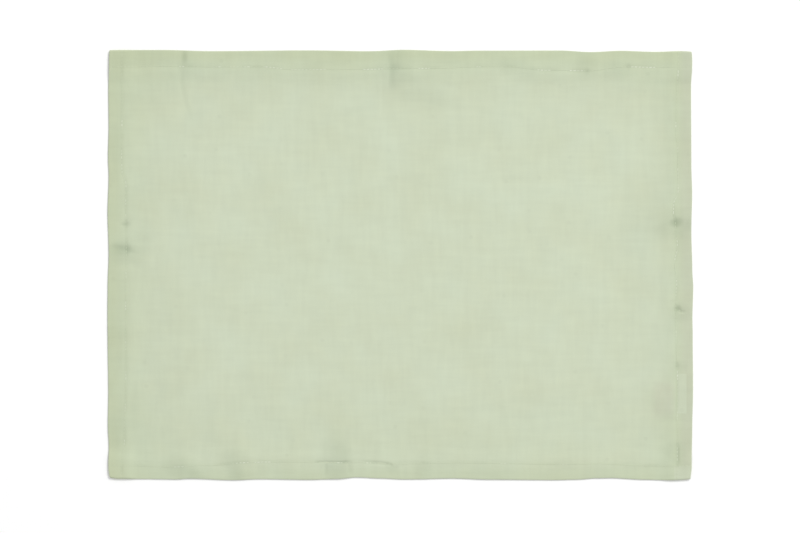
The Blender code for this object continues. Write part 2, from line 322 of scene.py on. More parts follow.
def hem_shares(x, y, slope):
    """1 in the side hems and in the long hems, easing to 0 over a slope past their inner folds."""
    away = from_sides(x, y)
    shares = {}
    for side, place in along_sides(x, y):
        shares[side] = 1.0 - ease((away[side] - hem_width(side, place)) / slope)
    return np.maximum(shares["left"], shares["right"]), np.maximum(shares["near"], shares["far"])


def layers_below(short, long):
    """Depth of the turned-under layers below the face, where the two pairs of hems have these shares."""
    return 2.0 * LAYER_STEP * np.maximum(short, long) + 6.0 * LAYER_STEP * short * long


def label_room(y):
    """Extra space between the right hem's layers where the label is caught."""
    return LABEL_ROOM * (1.0 - ease((np.abs(y - LABEL_MIDDLE) - LABEL_WIDE / 2) / LABEL_ROOM_SLOPE))


def crease_profile(x, y, left_breadth, right_breadth, points):
    """1 along a crease's bottom, easing to 0 over its breadths and tapering at both ends."""
    lengths = [math.dist(start, end) for start, end in zip(points, points[1:])]
    whole = sum(lengths)
    nearest = np.full(x.shape, 1e9)
    profile = np.zeros(x.shape)
    run = 0.0
    for (start, end), length in zip(zip(points, points[1:]), lengths):
        way_x = (end[0] - start[0]) / length
        way_y = (end[1] - start[1]) / length
        along = np.clip((x - start[0]) * way_x + (y - start[1]) * way_y, 0.0, length)
        off_x = x - start[0] - along * way_x
        off_y = y - start[1] - along * way_y
        off = np.hypot(off_x, off_y)
        breadth = np.where(way_x * off_y - way_y * off_x > 0.0, left_breadth, right_breadth)
        place = (run + along) / whole
        taper = ease(place / CREASE_TAPER) * ease((1.0 - place) / CREASE_TAPER) * 0.85 + 0.15
        across = np.clip(off / breadth, 0.0, 1.0)
        closer = off < nearest
        profile = np.where(closer, taper * (1.0 - across * across) ** 2, profile)
        nearest = np.where(closer, off, nearest)
        run += length
    return profile


def pucker_profile(x, y, centre_x, centre_y, half_length, half_breadth, turn):
    """1 at a soft pucker's middle, easing to 0 at its oval rim."""
    angle = math.radians(turn)
    along = (x - centre_x) * math.cos(angle) + (y - centre_y) * math.sin(angle)
    across = (y - centre_y) * math.cos(angle) - (x - centre_x) * math.sin(angle)
    spread = np.clip((along / half_length) ** 2 + (across / half_breadth) ** 2, 0.0, 1.0)
    return (1.0 - spread) ** 2


def puckers(x, y):
    """What the puckers and creases do to the cloth: how high they raise it, and their painted shade."""
    rise = np.zeros(x.shape)
    clear = np.ones(x.shape)
    for centre_x, centre_y, height, painted_shade, half_length, half_breadth, turn in SOFT_PUCKERS:
        profile = pucker_profile(x, y, centre_x, centre_y, half_length, half_breadth, turn)
        rise += height * profile
        clear *= 1.0 - painted_shade * profile
    for height, painted_shade, left_breadth, right_breadth, points in CREASES:
        profile = crease_profile(x, y, left_breadth, right_breadth, points)
        rise += height * profile
        clear *= 1.0 - painted_shade * profile
    return rise, 1.0 - clear


def hem_lift(x, y):
    """How far the whole stack of layers is lifted off the surface, never below it."""
    held_up = np.maximum(*hem_shares(x, y, HEM_LIFT_REACH)) * HEM_LIFT
    lift = held_up + puckers(x, y)[0] - SEAM_DENT * seam_sink(x, y)[1]
    return (lift + np.sqrt(lift * lift + LIFT_SOFTNESS**2)) / 2.0 - CLEAR


def face_height(x, y):
    """Height of the middle of the cloth's face layer above the surface."""
    stack = layers_below(*hem_shares(x, y, HEM_SLOPE))
    away_right = MAT_LONG / 2 - x
    in_right_hem = 1.0 - ease((away_right - hem_width("right", y)) / HEM_SLOPE)
    height = LYING + stack + label_room(y) * in_right_hem + hem_lift(x, y)
    past_end = np.maximum(np.maximum(LABEL_FREE_END - x, x - LABEL_DOWN_FROM), 0.0)
    past_side = np.maximum(np.abs(y - LABEL_MIDDLE) - LABEL_WIDE / 2, 0.0)
    past_label = np.hypot(past_end, past_side) - LABEL_COVER_MARGIN
    over_label = 1.0 - ease(past_label / LABEL_COVER_SLOPE)
    needed = label_middle_height(x, y) + LABEL_THICK / 2 + CLOTH_THICK / 2 + 2.0 * CLEAR
    return height + over_label * np.maximum(0.0, needed - height)


def label_middle_height(x, y):
    """Height of the middle of the label: up in the hem at one end, on the surface at the other."""
    caught = LYING + 2.0 * LAYER_STEP + LABEL_ROOM + hem_lift(x, y) - (LAYER_STEP + LABEL_ROOM) / 2
    lying = LABEL_THICK / 2 + CLEAR
    return lying + (caught - lying) * ease((x - LABEL_DOWN_TO) / (LABEL_DOWN_FROM - LABEL_DOWN_TO))


def fold_lines(side):
    """Flat distances from the middle to the two folds of a side's hem, each with a start and an end, and
    to the raw edge."""
    edge_bend = LAYER_STEP
    inner_bend = LAYER_STEP / 2
    hem = MEAN_HEMS[side]
    edge_fold = (MAT_LONG if side in ("left", "right") else MAT_WIDE) / 2 - edge_bend
    turned_in = edge_fold + math.pi * edge_bend
    inner_fold = turned_in + hem - inner_bend - edge_bend
    turned_back = inner_fold + math.pi * inner_bend
    raw_edge = turned_back + hem - inner_bend - edge_bend - RAW_EDGE
    return edge_fold, turned_in, inner_fold, turned_back, raw_edge


FOLDS = {side: fold_lines(side) for side in MEAN_HEMS}


def side_values(flat, low, high):
    """A value of the low side where the flat place is below zero, and of the high side elsewhere."""
    return np.where(flat < 0.0, low, high)


def turned_under(flat, folds, hem, gap, inner_bend):
    """Turn one direction's two ends under twice. Gives the distance from the finished edge, the level
    below the face, and the two parts of the direction that the face side looks in there."""
    past = np.abs(flat)
    edge_fold, turned_in, inner_fold, turned_back, raw_edge = folds
    bend = gap / 2 + inner_bend
    inside = edge_fold - past
    wider = bend - LAYER_STEP
    away = inside + LAYER_STEP + wider * np.clip(1.0 - inside / BEND_FADE, 0.0, 1.0)
    level = np.zeros(flat.shape)
    look_away = np.zeros(flat.shape)
    look_up = np.ones(flat.shape)

    turn = math.pi * (past - edge_fold) / (turned_in - edge_fold)
    here = (past > edge_fold) & (past <= turned_in)
    away = np.where(here, bend - bend * np.sin(turn), away)
    level = np.where(here, -bend + bend * np.cos(turn), level)
    look_away = np.where(here, -np.sin(turn), look_away)
    look_up = np.where(here, np.cos(turn), look_up)

    share = (past - turned_in) / (inner_fold - turned_in)
    here = (past > turned_in) & (past <= inner_fold)
    away = np.where(here, bend + share * (hem - inner_bend - bend), away)
    level = np.where(here, -2.0 * bend, level)
    look_up = np.where(here, -1.0, look_up)

    turn = math.pi * (past - inner_fold) / (turned_back - inner_fold)
    here = (past > inner_fold) & (past <= turned_back)
    away = np.where(here, hem - inner_bend + inner_bend * np.sin(turn), away)
    level = np.where(here, -2.0 * bend + inner_bend - inner_bend * np.cos(turn), level)
    look_away = np.where(here, np.sin(turn), look_away)
    look_up = np.where(here, -np.cos(turn), look_up)

    share = (past - turned_back) / (raw_edge - turned_back)
    here = past > turned_back
    away = np.where(here, hem - inner_bend - share * (hem - inner_bend - bend - RAW_EDGE), away)
    level = np.where(here, -gap, level)
    return away, level, look_away, look_up


def folded(u, v, off):
    """Where a place of the flat cloth goes once both pairs of hems are turned under, off its middle
    by a distance towards its face side."""
    place = np.clip(v, -MAT_WIDE / 2, MAT_WIDE / 2)
    hem = side_values(u, hem_width("left", place), hem_width("right", place))
    folds = [side_values(u, low, high) for low, high in zip(FOLDS["left"], FOLDS["right"])]
    gap = LAYER_STEP + side_values(u, 0.0, label_room(place))
    away, level, look_away, look_up = turned_under(u, folds, hem, gap, LAYER_STEP / 2)
    x = (MAT_LONG / 2 - away - off * look_away) * np.sign(u)
    raised = level + off * look_up

    place = np.clip(x, -MAT_LONG / 2, MAT_LONG / 2)
    hem = side_values(v, hem_width("near", place), hem_width("far", place))
    folds = [side_values(v, low, high) for low, high in zip(FOLDS["near"], FOLDS["far"])]
    short = hem_shares(x, side_values(v, -MAT_WIDE / 2, MAT_WIDE / 2), HEM_SLOPE)[0]
    gap = LAYER_STEP + 2.0 * LAYER_STEP * short
    bend = LAYER_STEP / 2 + 2.0 * LAYER_STEP * short
    away, level, look_away, look_up = turned_under(v, folds, hem, gap, bend)
    y = (MAT_WIDE / 2 - away - raised * look_away) * np.sign(v)
    z = level + raised * look_up
    return x, y, z


def laid(x, y, z):
    """Lay the folded cloth down: lifted by its hems and puckers, pressed along its stitch lines, its
    sides waving and its corners drawn in."""
    inside_x = np.clip(x, -MAT_LONG / 2, MAT_LONG / 2)
    inside_y = np.clip(y, -MAT_WIDE / 2, MAT_WIDE / 2)
    away = from_sides(inside_x, inside_y)
    short, long = hem_shares(inside_x, inside_y, HEM_SLOPE)
    stack = layers_below(short, long)
    pressed = seam_sink(inside_x, inside_y)[0]
    squeeze = 1.0 - SEAM_PRESS * pressed / (stack / 2 + CLOTH_THICK / 2) - CORNER_PRESS * short * long
    z = -stack / 2 + (z + stack / 2) * squeeze
    z = z + face_height(inside_x, inside_y) - CORNER_PRESS * short * long * stack / 2

    felt = {side: np.clip(1.0 - away[side] / WAVE_REACH, 0.0, 1.0) ** 2 for side in away}
    shift_x = felt["right"] * along_side(EDGE_WAVES["right"], y)
    shift_x -= felt["left"] * along_side(EDGE_WAVES["left"], y)
    shift_y = felt["far"] * along_side(EDGE_WAVES["far"], x)
    shift_y -= felt["near"] * along_side(EDGE_WAVES["near"], x)
    for side, end, drawn_in in CORNERS_DRAWN_IN:
        reach = np.hypot(away[side], away[end]) / CORNER_REACH
        near_corner = np.clip(1.0 - reach, 0.0, 1.0) ** 2
        shift_x += drawn_in * near_corner * (1.0 if side == "left" else -1.0)
        shift_y += drawn_in * near_corner * (1.0 if end == "near" else -1.0)
    return x + shift_x, y + shift_y, z


# Grid lines over the flat cloth, inward from a hem's outer fold: by the fold, then the first one, the
# space and the number of those on the stitch line and of those on the slope. Between the hems' lines they
# are even
OVER_FOLD = (0.0, 1.0, 2.5, 4.5, 6.5, 8.5)
ON_SEAM = (10.0, 0.9, 11)
ON_SLOPE = (20.4, 1.6, 9)
GRID_STEP = 4.4

# The longest edges that are left uncut: anywhere, at a pucker's and at a crease's as a share of its
# breadth, and the shortest such length. A crease is felt somewhat past its own breadth
COARSE_EDGE = 6.0
PUCKER_EDGE = 0.22
CREASE_EDGE = 0.45
SHORTEST_EDGE = 1.1
CREASE_FELT = 1.4


def flat_lines(*ends):
    """Grid lines over the flat cloth from a side to the other: close in folds and hems, even between."""
    sides = []
    for side in ends:
        edge_fold, turned_in, inner_fold, turned_back, raw_edge = FOLDS[side]
        flap = [raw_edge + (turned_back - raw_edge) * part / 4 for part in range(4)]
        tight = [turned_back + (inner_fold - turned_back) * part / 3 for part in range(3)]
        under = [inner_fold + (turned_in - inner_fold) * part for part in (0, 0.08, 0.16, 0.3, 0.6)]
        outer = [turned_in + (edge_fold - turned_in) * part / 5 for part in range(5)]
        over = [edge_fold - inside for inside in OVER_FOLD]
        for first, space, number in (ON_SEAM, ON_SLOPE):
            over += [edge_fold - first - space * line for line in range(number)]
        sides.append(flap + tight + under + outer + over)
    low = [-place for place in sides[0]]
    high = sides[1][::-1]
    bays = round((high[0] - low[-1]) / GRID_STEP)
    between = [low[-1] + (high[0] - low[-1]) * bay / bays for bay in range(1, bays)]
    return low + between + high


columns = flat_lines("left", "right")
rows = flat_lines("near", "far")
net = bmesh.new()
corners = [[net.verts.new((u, v, 0.0)) for u in columns] for v in rows]
for lower, upper in zip(corners, corners[1:]):
    for start in range(len(columns) - 1):
        net.faces.new((lower[start], lower[start + 1], upper[start + 1], upper[start]))

# The grid is cut finer round the puckers and creases, and finest across the sharp ones
for cut_round in range(3):
    edges = list(net.edges)
    ends = np.array([[end.co[:2] for end in edge.verts] for edge in edges])
    middle = ends.mean(axis=1)
    spans = np.linalg.norm(ends[:, 0] - ends[:, 1], axis=1)
    wanted = np.full(len(edges), COARSE_EDGE)
    for centre_x, centre_y, _, _, half_length, half_breadth, turn in SOFT_PUCKERS:
        felt = pucker_profile(*middle.T, centre_x, centre_y, half_length, half_breadth, turn)
        fine = max(half_breadth * PUCKER_EDGE, SHORTEST_EDGE)
        wanted = np.where(felt > 0.0, np.minimum(wanted, fine), wanted)
    for _, _, left_breadth, right_breadth, points in CREASES:
        reach = max(left_breadth, right_breadth)
        felt = crease_profile(*middle.T, reach * CREASE_FELT, reach * CREASE_FELT, points)
        wanted = np.where(felt > 0.001, np.minimum(wanted, reach * CREASE_EDGE), wanted)
    past_x = np.abs(middle[:, 0]) > MAT_LONG / 2
    past_y = np.abs(middle[:, 1]) > MAT_WIDE / 2
    wanted = np.where(past_x | past_y, COARSE_EDGE, wanted)
    chosen = [edge for edge, span, want in zip(edges, spans, wanted) if span > want]
    if chosen:
        bmesh.ops.subdivide_edges(net, edges=chosen, cuts=1, use_grid_fill=True)
bmesh.ops.triangulate(net, faces=[face for face in net.faces if len(face.verts) > 4])

net.verts.index_update()
flat_places = np.array([vert.co[:2] for vert in net.verts])
faces = [[vert.index for vert in face.verts] for face in net.faces]
rim = [[vert.index for vert in edge.verts] for edge in net.edges if edge.is_boundary]
rim_faces = {tuple(sorted(pair)): None for pair in rim}
count = len(flat_places)
for face in faces:
    for start, end in zip(face, face[1:] + face[:1]):
        if tuple(sorted((start, end))) in rim_faces:
            rim_faces[tuple(sorted((start, end)))] = (start, end)
net.free()

flat_u, flat_v = flat_places[:, 0], flat_places[:, 1]
sides = [laid(*folded(flat_u, flat_v, off)) for off in (CLOTH_THICK / 2, -CLOTH_THICK / 2)]
verts = np.concatenate([np.stack(side, axis=1) for side in sides])
middle_of_mat = (verts[:, :2].min(axis=0) + verts[:, :2].max(axis=0)) / 2
verts[:, :2] -= middle_of_mat
back_faces = [[index + count for index in reversed(face)] for face in faces]
edge_faces = [[end, start, start + count, end + count] for start, end in rim_faces.values()]
cloth_mesh = bpy.data.meshes.new("placemat cloth")
cloth_mesh.from_pydata((verts * METRE).tolist(), [], faces + back_faces + edge_faces)
cloth_mesh.shade_smooth()


def new_object(name, data):
    """An object at the origin, in the scene."""
    made = bpy.data.objects.new(name, data)
    bpy.context.scene.collection.objects.link(made)
    return made


def add_flat_map(mesh, name, places):
    """A map in metres that gives both sides of a sheet their places on the flat cut piece."""
    corner_verts = np.zeros(len(mesh.loops), dtype=np.int64)
    mesh.loops.foreach_get("vertex_index", corner_verts)
    both = np.concatenate([places, places]) * METRE
    mesh.uv_layers.new(name=name).data.foreach_set("uv", both[corner_verts].ravel())


cloth = new_object("placemat_cloth", cloth_mesh)
add_flat_map(cloth_mesh, "flat cloth", flat_places)

# Marks on the cloth: painted shade for the light that layers below it and the hem's stiffer edge hold
# back from coming up through it, painted shade where its puckers and creases stand off the surface and
# along tight stitch lines, and whether it is the face layer
HEM_SHADE_PLACES = (0.0, 5.5, 8.5, 12.5, 17.0, 24.0, 30.0, 41.0, 58.0, 80.0)
HEM_SHADES = {
    "left": (0.86, 0.84, 0.72, 0.58, 0.47, 0.42, 0.36, 0.24, 0.14, 0.0),
    "right": (0.80, 0.76, 0.66, 0.54, 0.38, 0.28, 0.20, 0.12, 0.06, 0.0),
    "near": (0.58, 0.50, 0.36, 0.30, 0.27, 0.25, 0.23, 0.18, 0.10, 0.0),
    "far": (0.92, 0.90, 0.72, 0.60, 0.46, 0.38, 0.28, 0.17, 0.08, 0.0),
}
# Painted shade at the inner fold, from a little outside the fold and over a short run
FOLD_SHADE = 0.06
FOLD_SHADE_FROM = 0.6
FOLD_SHADE_RUN = 1.6
face_x, face_y = folded(flat_u, flat_v, 0.0)[:2]
away = from_sides(face_x, face_y)
clear = np.ones(count)
for side, place in along_sides(face_x, face_y):
    past_fold = away[side] - hem_width(side, place)
    share = FOLD_SHADE * (1.0 - ease((past_fold + FOLD_SHADE_FROM) / FOLD_SHADE_RUN))
    share += np.interp(away[side], HEM_SHADE_PLACES, HEM_SHADES[side])
    clear *= 1.0 - np.clip(share, 0.0, 1.0)
painted_hem_shade = 1.0 - clear
on_face = ((np.abs(flat_u) < MAT_LONG / 2) & (np.abs(flat_v) < MAT_WIDE / 2)).astype(float)
# Painted shade of the puckers, creases and tight stitch lines, and painted light where it is below zero
painted_relief_shade = puckers(face_x, face_y)[1]
painted_relief_shade = 1.0 - (1.0 - painted_relief_shade) * (1.0 - SEAM_PAINTED_SHADE * seam_sink(face_x, face_y)[1])
for name, values in (("painted_hem_shade", painted_hem_shade), ("painted_relief_shade", painted_relief_shade), ("face layer", on_face)):
    mark = cloth_mesh.attributes.new(name, "FLOAT", "POINT")
    mark.data.foreach_set("value", np.concatenate([values, values]).astype(np.float32))

# A plain weave for the cloth and the label: threads over and under each other, with uneven yarns. Each
# shade of the yarns is a stretch of the map, a scale to the slubs, and how much it counts
YARN_SHADES = (
    ((1.0, 0.02, 1.0), 1.9, 0.15),
    ((0.02, 1.0, 1.0), 1.8, 0.15),
    ((1.0, 0.20, 1.0), 0.43, 0.52),
    ((0.18, 1.0, 1.0), 0.47, 0.52),
    ((1.0, 1.0, 1.0), 0.062, 0.72),
)


def feed(tree, node, inputs):
    """Give a node's inputs, by name or number, another node's result or a plain value."""
    for name, value in inputs.items():
        if isinstance(value, bpy.types.NodeSocket):
            tree.links.new(value, node.inputs[name])
        else:
            node.inputs[name].default_value = value


def added(tree, kind, inputs, **settings):
    """A new node with its settings and its inputs."""
    node = tree.nodes.new(kind)
    for name, value in settings.items():
        setattr(node, name, value)
    feed(tree, node, inputs)
    return node


def maths(tree, kind, *values):
    """The result of a Math node."""
    return added(tree, "ShaderNodeMath", dict(enumerate(values)), operation=kind).outputs["Value"]


def times(tree, vector, factor, kind="MULTIPLY"):
    """A vector or colour times another one, or times a number with the kind SCALE."""
    inputs = {0: vector, "Scale" if kind == "SCALE" else 1: factor}
    return added(tree, "ShaderNodeVectorMath", inputs, operation=kind).outputs["Vector"]


def mapped(tree, value, source, target=(0.0, 1.0), kind="LINEAR"):
    """A value carried from one range to another."""
    names = ("Value", "From Min", "From Max", "To Min", "To Max")
    inputs = dict(zip(names, (value, *source, *target)))
    return added(tree, "ShaderNodeMapRange", inputs, interpolation_type=kind).outputs["Result"]


def noise(tree, place, scale, detail, roughness=0.5, over="2D"):
    """Soft noise over a map, or in 3D over a piece's own room."""
    inputs = {"Vector": place, "Scale": scale, "Detail": detail, "Roughness": roughness}
    return added(tree, "ShaderNodeTexNoise", inputs, noise_dimensions=over).outputs["Fac"]


def parted(tree, vector):
    """A vector's three parts."""
    return added(tree, "ShaderNodeSeparateXYZ", {"Vector": vector}).outputs


def new_group(name, kind, inputs, outputs):
    """A node group, the values that come into it, and the node that takes its results."""
    group = bpy.data.node_groups.new(name, kind)
    for in_out, sockets in (("INPUT", inputs), ("OUTPUT", outputs)):
        for socket, value in sockets.items():
            group.interface.new_socket(socket, in_out=in_out, socket_type="NodeSocket" + value)
    return group, group.nodes.new("NodeGroupInput").outputs, group.nodes.new("NodeGroupOutput")


weave, weave_in, weave_out = new_group(
    "plain weave",
    "ShaderNodeTree",
    {"Map": "Vector", "Threads": "Float", "Slubs": "Float"},
    {"Height": "Float", "Streak": "Float"},
)
flat_place = weave_in["Map"]
slubs = weave_in["Slubs"]
ways = parted(weave, flat_place)
crossing = []
for way in ("X", "Y"):
    threads = maths(weave, "MULTIPLY", ways[way], weave_in["Threads"])
    crossing.append(maths(weave, "SINE", maths(weave, "MULTIPLY", threads, math.pi)))
over_under = maths(weave, "MULTIPLY", *crossing)
streak = 0.0
for stretch, scale, share in YARN_SHADES:
    stretched = times(weave, flat_place, stretch)
    yarn = noise(weave, stretched, maths(weave, "MULTIPLY", slubs, scale), 2.0, 0.55)
    shade = maths(weave, "MULTIPLY", maths(weave, "SUBTRACT", yarn, 0.5), share)
    streak = maths(weave, "ADD", streak, shade)
spread = {"Vector": flat_place, "Scale": maths(weave, "MULTIPLY", slubs, 0.085)}
knots = added(weave, "ShaderNodeTexVoronoi", spread, voronoi_dimensions="2D").outputs
knot = mapped(weave, knots["Distance"], (0.03, 0.075), (-0.50, 0.0), "SMOOTHSTEP")
how_deep = maths(weave, "POWER", parted(weave, knots["Color"])["X"], 2.5)
knot_shade = maths(weave, "MULTIPLY", knot, how_deep)
feed(weave, weave_out, {"Height": maths(weave, "ABSOLUTE", over_under)})
feed(weave, weave_out, {"Streak": maths(weave, "ADD", streak, knot_shade)})


def new_material(name):
    """A material, its node tree and its shader."""
    made = bpy.data.materials.new(name)
    made.use_nodes = True
    return made, made.node_tree, made.node_tree.nodes["Principled BSDF"]


def woven_yarns(tree, map_name, threads, slubs):
    """A piece's flat map, and the weave on it with its threads and its slubs to the metre."""
    piece_map = added(tree, "ShaderNodeUVMap", {}, uv_map=map_name).outputs["UV"]
    inputs = {"Map": piece_map, "Threads": threads, "Slubs": slubs}
    return piece_map, added(tree, "ShaderNodeGroup", inputs, node_tree=weave).outputs


def raise_yarns(tree, shader, height, strength, distance):
    """Let the yarns stand up from a piece's surface."""
    bump = added(tree, "ShaderNodeBump", {"Strength": strength, "Distance": distance, "Height": height})
    feed(tree, shader, {"Normal": bump.outputs["Normal"]})


def mark_of(tree, name):
    """A mark stored on the mesh."""
    return added(tree, "ShaderNodeAttribute", {}, attribute_name=name).outputs["Fac"]


def ramp(tree, value, stops):
    """A colour read off a ramp of places and colours."""
    node = added(tree, "ShaderNodeValToRGB", {"Fac": value})
    while len(node.color_ramp.elements) < len(stops):
        node.color_ramp.elements.new(0.5)
    for element, (place, colour) in zip(node.color_ramp.elements, stops):
        element.position = place
        element.color = (*colour, 1.0)
    return node.outputs["Color"]


# The cloth's colour with painted shade for the light that layers below it hold back, from no layers below
# it to most
PAINTED_LAYER_SHADES = (
    (0.00, (0.573, 0.631, 0.477)),
    (0.30, (0.554, 0.611, 0.455)),
    (0.50, (0.536, 0.597, 0.436)),
    (0.75, (0.522, 0.582, 0.415)),
    (1.00, (0.515, 0.571, 0.394)),
)

# Places of another shade, as oblongs in metres: from, to and how soft the ends are along X and along Y,
# how strongly it shows, its colour, and whether it shows on the face layer alone. They are the right
# hem's edge, painted light where the white label pressed up in the hem shows through, painted shade
# where its loose end lies as a greyer and pinker patch under the single cloth, and the lighter square at
# the near right corner
SHOWN = (
    ((0.2285, 0.2600, 0.0085), None, 0.75, (0.514, 0.553, 0.419), False),
    ((0.2296, 0.2376, 0.0005), (-0.1234, -0.0899, 0.0007), 0.85, (0.556, 0.614, 0.462), True),
    ((0.2070, 0.2300, 0.0070), (-0.1300, -0.0930, 0.0110), 0.75, (0.541, 0.577, 0.440), True),
    ((0.2265, 0.2415, 0.0012), (-0.1795, -0.1660, 0.0012), 0.75, (0.550, 0.600, 0.452), True),
)


def mixed(tree, factor, first, second, clamp=True):
    """One colour changed to another by a factor."""
    inputs = {"Factor": factor, "A": first, "B": second}
    return added(tree, "ShaderNodeMix", inputs, data_type="RGBA", clamp_factor=clamp).outputs["Result"]


sage, tree, shader = new_material("sage plain weave")
cloth_place, woven = woven_yarns(tree, "flat cloth", 2100.0, 400.0)
mat_parts = parted(tree, added(tree, "ShaderNodeTexCoord", {}).outputs["Object"])
on_face_layer = mark_of(tree, "face layer")
# Painted shade for the hem's layers, with the patches above laid over it
shown_through = ramp(tree, mark_of(tree, "painted_hem_shade"), PAINTED_LAYER_SHADES)
for along_x, along_y, strength, colour, face_only in SHOWN:
    mask = strength
    for way, span in (("X", along_x), ("Y", along_y)):
        if span is None:
            continue
        low, high, soft = span
        rises = mapped(tree, mat_parts[way], (low, low + soft), kind="SMOOTHSTEP")
        falls = mapped(tree, mat_parts[way], (high, high - soft), kind="SMOOTHSTEP")
        mask = maths(tree, "MULTIPLY", mask, maths(tree, "MULTIPLY", rises, falls))
    if face_only:
        mask = maths(tree, "MULTIPLY", mask, on_face_layer)
    shown_through = mixed(tree, mask, shown_through, (*colour, 1.0))

# Uneven yarns, a slow drift between a warmer and a cooler green, and the painted shade of the puckers,
# creases and tight stitch lines
uneven = mapped(tree, woven["Streak"], (-0.3, 0.3), (0.965, 1.035))
drift = noise(tree, cloth_place, 26.0, 3.0)
cooler = mixed(tree, drift, (1.012, 0.997, 0.962, 1.0), (0.989, 1.003, 1.023, 1.0))
tinted = times(tree, shown_through, cooler)
with_relief_shade = mixed(tree, mark_of(tree, "painted_relief_shade"), tinted, (0.0, 0.05, 0.0, 1.0), clamp=False)
feed(tree, shader, {"Base Color": times(tree, with_relief_shade, uneven, "SCALE")})
raise_yarns(tree, shader, woven["Height"], 0.35, 0.00012)
feed(tree, shader, {"Roughness": 0.88, "Specular IOR Level": 0.25})
feed(tree, shader, {"Sheen Weight": 0.12, "Sheen Roughness": 0.5})
cloth_mesh.materials.append(sage)

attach(cloth, "root")
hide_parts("cloth")

# Label: a small blank off-white woven tape, one end caught between the right hem's layers by the hem's
# own stitching and the rest lying loose under the cloth. It carries no print.
label_columns = np.linspace(LABEL_FREE_END, LABEL_CAUGHT_END, 35)
label_rows = np.linspace(LABEL_MIDDLE - LABEL_WIDE / 2, LABEL_MIDDLE + LABEL_WIDE / 2, 23)
tape_x, tape_y = [side.ravel() for side in np.meshgrid(label_columns, label_rows)]
tape_z = label_middle_height(tape_x, tape_y)
wave_x = np.clip(1.0 - (MAT_LONG / 2 - tape_x) / WAVE_REACH, 0.0, 1.0) ** 2
tape_shift = wave_x * along_side(EDGE_WAVES["right"], tape_y)
halves = []
for off in (LABEL_THICK / 2, -LABEL_THICK / 2):
    halves.append(np.stack((tape_x + tape_shift, tape_y, tape_z + off), axis=1))
tape_verts = np.concatenate(halves)
tape_verts[:, :2] -= middle_of_mat
wide, tall, each = len(label_columns), len(label_rows), len(tape_x)
tape_faces = []
for row in range(tall - 1):
    for column in range(wide - 1):
        start = row * wide + column
        tape_faces.append((start, start + 1, start + wide + 1, start + wide))
        tape_faces.append((start + each + wide, start + each + wide + 1, start + each + 1, start + each))
ring = list(range(wide))
ring += [row * wide + wide - 1 for row in range(1, tall)]
ring += [(tall - 1) * wide + column for column in range(wide - 2, -1, -1)]
ring += [row * wide for row in range(tall - 2, 0, -1)]
for start, end in zip(ring, ring[1:] + ring[:1]):
    tape_faces.append((end, start, start + each, end + each))
label_mesh = bpy.data.meshes.new("blank label")
label_mesh.from_pydata((tape_verts * METRE).tolist(), [], tape_faces)
label_mesh.shade_smooth()
label_mesh.set_sharp_from_angle(angle=math.radians(50.0))
add_flat_map(label_mesh, "flat tape", np.stack((tape_x, tape_y), axis=1))
label = new_object("blank_label", label_mesh)

tape, tree, shader = new_material("off-white tape")
woven = woven_yarns(tree, "flat tape", 3600.0, 900.0)[1]
uneven = mapped(tree, woven["Streak"], (-0.3, 0.3), (0.97, 1.02))
feed(tree, shader, {"Base Color": times(tree, (0.84, 0.83, 0.79), uneven, "SCALE")})
raise_yarns(tree, shader, woven["Height"], 0.3, 0.00006)
feed(tree, shader, {"Roughness": 0.7, "Sheen Weight": 0.1})
label_mesh.materials.append(tape)

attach(label, "root")
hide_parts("label")

# Stitching: lockstitch in sage thread a shade lighter than the cloth, one row on each hem. Every stitch
# is a short thread that dips into the cloth at both ends, on the face and again on the wrong side.
STITCH_LONG = 3.0
STITCH_GAP = 0.5
THREAD_THICK = 0.38

# Points along a row, how far from the mat's corners a row starts and stops on the face and on the short
# hems' wrong side, and how far from its row a stitch still belongs to it
PATH_STEP = 0.9
FACE_ENDS = (1.2, 1.1)
REVERSE_ENDS = (18.5, 19.0)
ROW_REACH = 2.2

# Painted highlight on the thread where it stands proud enough to catch the light, and how much: from, to,
# share
THREAD_HIGHLIGHTS = {
    "left": (
        (-150, -145, 0.4), (-121.8, -115.2, 0.5), (-95.3, -88.7, 0.5), (-70.5, -62.2, 0.4),
        (-37.3, -29.1, 0.5), (-10.8, -4.2, 0.4), (38.8, 42.1, 0.4), (50.4, 55.4, 0.5),
        (63.7, 70.3, 0.6), (76.9, 83.5, 0.5), (88.5, 95.1, 0.5), (115, 120.8, 0.8),
    ),
    "right": (
        (-163.2, -150, 0.4), (-128.4, -121.8, 0.5), (-95.3, -87, 0.6), (-60.5, -53.9, 0.4),
        (-25.8, -10.8, 0.6), (2.4, 12.3, 0.6), (15.6, 22.3, 0.7), (42.1, 57, 0.65), (59, 66.5, 0.5),
        (72, 81, 0.4), (94, 99.5, 0.5), (113.4, 118.3, 0.8), (154.8, 161.4, 0.8),
    ),
    "near": (
        (-188.1, -179.8, 0.6), (-136.8, -126, 0.7), (-120.2, -107, 0.8), (-53.2, -48.2, 1),
        (-29.1, -24.2, 0.7), (83.5, 90.1, 0.3), (133.1, 138.1, 0.4),
    ),
    "far": (
        (-183.2, -178.2, 0.9), (-152.5, -147.5, 0.7), (-140.9, -128.5, 0.3), (-128.5, -123.5, 0.8),
        (-112.8, -97.9, 0.7), (-90.4, -60.6, 0.45), (-30.8, -14.2, 1), (15.6, 24.7, 0.9),
        (63.4, 66.4, 0.8), (114.1, 124.9, 0.9), (140.6, 153, 0.9), (191.1, 212.6, 0.9),
    ),
}


def under_seam(side, place, room, crossing):
    """Flat place of a stitch on the wrong side, with extra layers between where two hems cross."""
    turned_in, inner_fold = FOLDS[side][1:3]
    inner_bend = LAYER_STEP / 2 + 2.0 * LAYER_STEP * crossing
    bend = (LAYER_STEP + room + 2.0 * LAYER_STEP * crossing) / 2 + inner_bend
    share = (along_side(SEAMS[side], place) - bend) / (hem_width(side, place) - inner_bend - bend)
    return turned_in + share * (inner_fold - turned_in)


